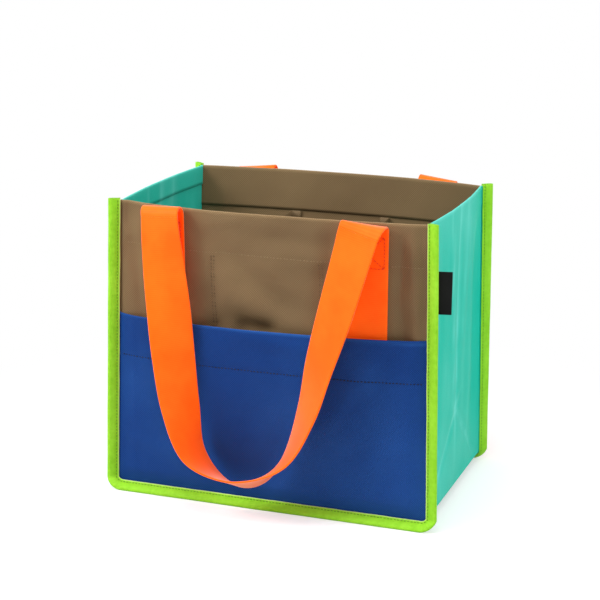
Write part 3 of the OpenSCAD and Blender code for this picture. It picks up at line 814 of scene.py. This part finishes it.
def fold_row(x0, hanging, deg):
    """A row of the fold: its two edges, part of the way from the sewn end to the hanging strap."""
    made = []
    for s, to in ((-1, hanging[0]), (1, hanging[1])):
        start = end_point(x0, s, FOLD_Z)
        r = abs(to.y - start.y) / 2 if x0 < 0 else RIGHT_RISE
        turn = math.radians(deg if deg < 90 else lerp(90, FOLD_END, deg / 90 - 1))
        end = math.radians(FOLD_END)
        rise = math.sin(turn) if deg < 90 else (math.sin(turn) - math.sin(end)) / (1 - math.sin(end))
        p = start.lerp(to, (1 - math.cos(turn)) / (1 - math.cos(end))) + Vector((0, 0, r * rise))
        p.x = lerp(start.x, to.x, clamp(deg / 90 - 1) ** 1.5)
        made.append(p)
    return made[0], made[1]


def bend(made, apex):
    """Bake a fold piece's place into its mesh. The fold is not bent here."""
    along = apex[1] - apex[0]
    out = Vector((along.y, -along.x, 0)).normalized()
    if out.y > 0:
        out = -out
    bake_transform(made)


def make_handle(side_name, back, webbing):
    loop = loop_rows()
    hang_left = edges_of(*loop[0])
    hang_right = tuple(reversed(edges_of(*loop[-1])))
    loop_body = side_name + "_handle"
    names = {LEFT_X: "left", RIGHT_X: "right"}
    if back:
        names = {LEFT_X: "right", RIGHT_X: "left"}
    for x0, hanging in ((LEFT_X, hang_left), (RIGHT_X, hang_right)):
        start, apex = fold_row(x0, hanging, 0), fold_row(x0, hanging, 90)
        rows = [(end_point(x0, -1, z), end_point(x0, 1, z)) for z in spread(END_LOW, FOLD_Z, 3.0)]
        rows += [fold_row(x0, hanging, a) for a in spread(6, 90, 6.0)]
        name = side_name + "_handle_" + names[x0]
        end = band(name + "_webbing", rows, webbing, None, back)
        bend(end, apex)
        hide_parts(name + "_end")
        rows = [fold_row(x0, hanging, a) for a in spread(90, 180, 6.0)]
        fold = band(name + "_fold_webbing", rows, webbing, None, back)
        bend(fold, apex)
        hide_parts(side_name + "_handle_folds")
    rows = [edges_of(middle, across) for middle, across in loop]
    hanging = band(side_name + "_handle_loop_webbing", rows, webbing, loop_body, back)
    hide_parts(side_name + "_handle_loop")


# Stitch lines: each is a line of points with the direction outward at each

# The box on a handle's end: its margin inside the webbing's edges, and its lower and upper edge
BOX_MARGIN, BOX_LOW, BOX_HIGH = 3.0, HEM_Z - 2, HEM_Z + 22


def box_runs(x0):
    """The stitched box and cross that hold an end of the handle."""
    wide = 1 - 2 * BOX_MARGIN / WEBBING_W
    corners = [(-wide, BOX_LOW), (wide, BOX_LOW), (wide, BOX_HIGH), (-wide, BOX_HIGH)]
    sunk = Vector((0, WEBBING_T / 2 - 0.05, 0))
    runs = []
    for i, j in ((0, 1), (1, 2), (2, 3), (3, 0), (0, 2), (1, 3)):
        (s0, z0), (s1, z1) = corners[i], corners[j]
        runs.append([(end_point(x0, lerp(s0, s1, t), lerp(z0, z1, t)) - sunk, OUTWARD)
                     for t in spread(0, 1, 0.125)])
    return runs


def on_panel(x, z, detail):
    return Vector((x, panel_y(x, z) - CLOTH / 2 - detail(x, z), z)), OUTWARD


def hem_runs(detail):
    clear = WEBBING_W / 2 + 1
    end = 0.98 * half_w(HEM_Z)
    parts = ((-end, LEFT_X - clear), (LEFT_X + clear, RIGHT_X - clear), (RIGHT_X + clear, end))
    return [[on_panel(x, HEM_Z, detail) for x in spread(a, b, 1.5)] for a, b in parts]


def divider_runs(detail):
    places = [side * DIVIDER_X + line * DIVIDER_LINES for side in (-1, 1) for line in (-0.5, 0.5)]
    return [[on_panel(x, z, detail) for z in spread(22, HEM_Z - 2, 1.5)] for x in places]


def pocket_run():
    z = POCKET_H - POCKET_HEM
    run = []
    for u in across_places(1.5):
        if abs(u) < 0.98:
            x = u * half_w(z)
            y = -DEPTH / 2 - bow(u, z) - pocket_off(u, z) - CLOTH / 2 - pocket_detail(x, z)
            run.append((Vector((x, y, z * pocket_top(u) / pocket_top(0))), OUTWARD))
    return [run]


# Dividers

BOARD_Z = -LAYER * math.sin(math.radians(BOTTOM_TURN)) + CLOTH / 2 + GAP
DIVIDER_LOW = BOARD_Z + BOARD_T + 0.3


def centre_divider_grid():
    """The long divider. Its top edge sags a little between the cross dividers and the sides."""
    grid = []
    for t in spread(0, 1, 0.02):
        row = []
        for s in spread(-1, 1, 0.02):
            top = DIVIDER_H - 1.0 * abs(math.sin(1.5 * math.pi * (s + 1)))
            z = lerp(DIVIDER_LOW, top, t)
            x = s * (half_w(z) + side_out(0, z) - CLOTH / 2 - SEWN_GAP - 0.5)
            near = min(abs(abs(x) - DIVIDER_X) / 8, 1)
            y = 0.9 * near * noise.noise(Vector((x / 45, z / 60, 91.0)))
            row.append(Vector((x, y, z)))
        grid.append(row)
    return grid


def cross_divider_grid(side, seed, detail):
    """A short divider, from the flange that is sewn to the panel to the centre divider."""
    x0 = side * DIVIDER_X
    grid = []

    def place(x, z):
        return Vector((x, panel_y(x, z) - detail(x, z) + 1.5 * CLOTH + SEWN_GAP + 0.3, z))

    for t in spread(0, 1, 0.025):
        z = lerp(DIVIDER_LOW, DIVIDER_H, t)
        row = [place(x0 - side * a, z) for a in (DIVIDER_FLANGE, 6.0, 4.0, 2.0, 0.8)]
        corner = place(x0, z)
        end = Vector((x0, -CLOTH / 2 - SEWN_GAP - 0.3, z))
        for s in spread(0.01, 1, 0.04):
            p = corner.lerp(end, s)
            wave = math.sin(math.pi * s)
            p.x += wave * (0.8 * noise.noise(Vector((p.y / 30, z / 50, seed))) + 0.5 * side)
            p.z -= 1.2 * wave * t ** 4
            row.append(p)
        grid.append(row)
    return grid


# Label: woven tape, folded once, with both its ends in the seam

LABEL_LOW, LABEL_H, LABEL_L, LABEL_TURN, LABEL_T = 165.0, 33.0, 16.5, 12.0, 0.32


def label_grid():
    s = side_station(LABEL_LOW + LABEL_H / 2, FRONT_TURN, FRONT_TURN, 1)
    start = in_seam(s, BINDING_IN, -SEAM_T / 2 - GAP)
    a = math.radians(LABEL_TURN)
    ahead, across = Vector((math.cos(a), math.sin(a), 0)), Vector((-math.sin(a), math.cos(a), 0))
    path = [(d, 0.2) for d in spread(0.2, LABEL_L - 0.6, 0.8)]
    path += [(LABEL_L - 0.3, 0.3), (LABEL_L - 0.15, 0.5), (LABEL_L - 0.3, 0.7)]
    path += [(d, 0.8) for d in spread(LABEL_L - 0.6, 0.2, 0.8)]
    grid = []
    for z in spread(LABEL_LOW + 0.1, LABEL_LOW + LABEL_H - 0.1, 0.8):
        curl = 0.2 * math.sin(math.pi * (z - LABEL_LOW) / LABEL_H * 0.9 + 0.2)
        foot = Vector((start.x, start.y, z))
        grid.append([foot + ahead * d + across * (off + curl * (d / LABEL_L) ** 2) for d, off in path])
    return grid


# Build

place_camera()

brown_cloth = oxford_cloth("brown_oxford_polyester", "#8f7554", "#614e36", "#a58a64")
blue_cloth = oxford_cloth("blue_oxford_polyester", "#164894", "#0e2c67", "#3069b9")
teal_cloth = oxford_cloth("turquoise_oxford_polyester", "#14d2b8", "#0ab49c", "#68dfd0")
lining_cloth = oxford_cloth("brown_lining_polyester", "#7a6448", "#5c4a33", "#8a7452")
# A tape's third colour is the painted highlight along its edge
green_tape = ribbed_tape("green_woven_tape", "#a4e83a", "#8cd428", "#d4f48a",
                         pitch=0.9, depth=0.00008, rough=0.5, crumple=1.0)
# The webbing has a little red glow of its own, a painted glow that keeps its shaded side bright
orange_webbing = ribbed_tape(
    "orange_polyester_webbing", "#ff7916", "#fe6707", "#ff8a3a",
    pitch=1.5, depth=0.00006, rough=0.5, crumple=0.1,
    extra={"Emission Color": linear("#ff2a00"), "Emission Strength": 0.2, "Sheen Weight": 0.5})
black_tape = ribbed_tape("black_satin_label_tape", "#1a1a1a", "#0f0f0f", "#212121",
                         pitch=0.6, depth=0.00004, rough=0.45, crumple=0.1)
# The hem and divider stitches are the same brown thread: drawn lighter on the hem as a painted highlight,
# and darker on the dividers as painted shade in their grooves
hem_thread = sewing_thread("hem_thread_painted_lighter", "#9a8360", "#776241")
divider_thread = sewing_thread("divider_thread_painted_darker", "#6b563a", "#4c3c26")
blue_thread = sewing_thread("navy_blue_sewing_thread", "#0c1c40", "#060f26")
green_thread = sewing_thread("olive_green_needle_thread", "#7fae26", "#5c861a")
bobbin_thread = sewing_thread("green_bobbin_thread", "#7fc428", "#62a01c")
# The orange thread has the same painted red glow as the webbing, a little weaker
orange_thread = sewing_thread("dark_orange_sewing_thread", "#e04604", "#bc3802",
                              extra={"Emission Color": linear("#ff2a00"), "Emission Strength": 0.1})
grey_board = pressed_board("grey_polypropylene_board", "#55565a", "#434448")


def cloth(name, grid, material, nodes, wear_and_highlight=None, back=False, thickness=CLOTH):
    made = sheet(name, grid, thickness, material, "bag", back, wear_and_highlight)
    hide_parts(*nodes)
    return made


cloth("front_panel_cloth", panel_like(FRONT_TURN, FRONT_TURN, 0.0, front_detail),
      brown_cloth, ["front_panel"], edge_highlight(HEIGHT))
cloth("back_panel_cloth", panel_like(BACK_TURN, BACK_TURN_TOP, LAYER / 2, back_detail),
      brown_cloth, ["back_panel"], edge_highlight(HEIGHT), back=True)
pocket = panel_like(FRONT_TURN, FRONT_TURN, LAYER, pocket_detail, pocket_top, POCKET_HEM, pocket_off)
cloth("front_pocket_cloth", pocket, blue_cloth, ["front_pocket"],
      edge_highlight(POCKET_H + 0.4))
cloth("side_and_base_cloth", gusset_grid(), teal_cloth, ["gusset"], side_wear_and_highlight)
cloth("centre_divider_cloth", centre_divider_grid(), lining_cloth, ["centre_divider"])
for node_name, side, back in (("front_left_divider", -1, False), ("front_right_divider", 1, False),
                              ("back_left_divider", 1, True), ("back_right_divider", -1, True)):
    rows = cross_divider_grid(side, 40.0 + side + 7 * back, back_detail if back else front_detail)
    cloth(node_name + "_cloth", rows, lining_cloth, [node_name], back=back)

for end_name, turn, turn_top, detail, back in (("front", FRONT_TURN, FRONT_TURN, front_detail, False),
                                               ("back", BACK_TURN, BACK_TURN_TOP, back_detail, True)):
    rings = tape_rings(seam(turn, turn_top, HEIGHT + BINDING_RISE, 1.0), 1.5 + back)
    tape = sweep(end_name + "_binding_tape", rings, green_tape, back=back)
    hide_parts(end_name + "_binding")
    make_handle(end_name, back, orange_webbing)
    for part, runs, thread, slot in (
            ("binding_needle", [binding_run(turn, turn_top, 1)], green_thread, "binding"),
            ("binding_bobbin", [binding_run(turn, turn_top, -1)], bobbin_thread, "binding"),
            ("handle", box_runs(LEFT_X) + box_runs(RIGHT_X), orange_thread, "handle"),
            ("panel_hem", hem_runs(detail), hem_thread, "panel"),
            ("panel_divider", divider_runs(detail), divider_thread, "panel")):
        line = stitches(end_name + "_" + part + "_stitches", runs, thread, back=back)
        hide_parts(end_name + "_" + slot + "_stitching")

line = stitches("pocket_hem_stitches", pocket_run(), blue_thread, size=1.6)
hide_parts("pocket_stitching")

cloth("woven_label_tab", label_grid(), black_tape, ["label"],
      thickness=LABEL_T)

board = bpy.data.objects["base_board"]
for slot in board.material_slots:
    slot.material = grey_board


# Floor, backdrop and lights. A lamp has its place and width in metres, and its power in watts.

LAMPS = [
    ("key", (-1.3, -1.1, 1.5), 0.9, 30), ("fill", (2.0, -0.3, 1.0), 1.0, 12),
    ("top", (0.0, -0.5, 2.1), 0.9, 18), ("back", (0.6, 1.9, 1.2), 1.2, 7),
]
LAMPS_AIM = Vector((0, 0, 0.12))


def looked_at(tree):
    """1 for rays that show the background itself: the camera's, and those reflected or let through."""
    path = add(tree, "ShaderNodeLightPath")
    seen = add(tree, "ShaderNodeMath", {"operation": "MAXIMUM"},
               {0: path.outputs["Is Camera Ray"], 1: path.outputs["Is Glossy Ray"]})
    seen = add(tree, "ShaderNodeMath", {"operation": "MAXIMUM"},
               {0: seen.outputs[0], 1: path.outputs["Is Transmission Ray"]})
    return seen.outputs[0]


def paper_floor():
    """White paper under the bag, which runs out into plain white away from it."""
    bpy.ops.mesh.primitive_plane_add(size=12, location=(0, 0, 0))
    floor = bpy.context.object
    floor.name = "floor"
    made, tree = new_material("white_paper_floor")
    matt = add(tree, "ShaderNodeBsdfDiffuse", {"Color": linear("#d8d8d8")})
    glow = add(tree, "ShaderNodeEmission", {"Strength": 0.45})
    near = add(tree, "ShaderNodeAddShader", None, {0: matt.outputs[0], 1: glow.outputs[0]})
    place = add(tree, "ShaderNodeTexCoord")
    away = add(tree, "ShaderNodeVectorMath", {"operation": "LENGTH"}, {0: place.outputs["Object"]})
    fade = add(tree, "ShaderNodeMapRange",
               {"interpolation_type": "SMOOTHSTEP", "From Min": 0.1, "From Max": 0.42},
               {"Value": away.outputs["Value"]})
    white = add(tree, "ShaderNodeEmission")
    both = add(tree, "ShaderNodeMixShader", None,
               {0: fade.outputs[0], 1: near.outputs[0], 2: white.outputs[0]})
    seen = add(tree, "ShaderNodeMixShader", None,
               {0: looked_at(tree), 1: matt.outputs[0], 2: both.outputs[0]})
    add(tree, "ShaderNodeOutputMaterial", None, {"Surface": seen.outputs[0]})
    floor.data.materials.append(made)


def studio_light():
    world = bpy.data.worlds.new("studio")
    bpy.context.scene.world = world
    world.use_nodes = True
    tree = world.node_tree
    tree.nodes.clear()
    soft = add(tree, "ShaderNodeBackground", {"Color": linear("#ffffff"), "Strength": 0.52})
    white = add(tree, "ShaderNodeBackground", {"Color": linear("#ffffff"), "Strength": 1.0})
    seen = add(tree, "ShaderNodeMixShader", None,
               {0: looked_at(tree), 1: soft.outputs[0], 2: white.outputs[0]})
    add(tree, "ShaderNodeOutputWorld", None, {"Surface": seen.outputs[0]})
    for name, place, size, power in LAMPS:
        lamp = bpy.data.lights.new(name, "AREA")
        lamp.size = size
        lamp.energy = power
        made = bpy.data.objects.new(name, lamp)
        bpy.context.collection.objects.link(made)
        made.location = place
        made.rotation_euler = (LAMPS_AIM - Vector(place)).to_track_quat("-Z", "Y").to_euler()


paper_floor()
studio_light()
bpy.context.scene.view_settings.view_transform = "Standard"
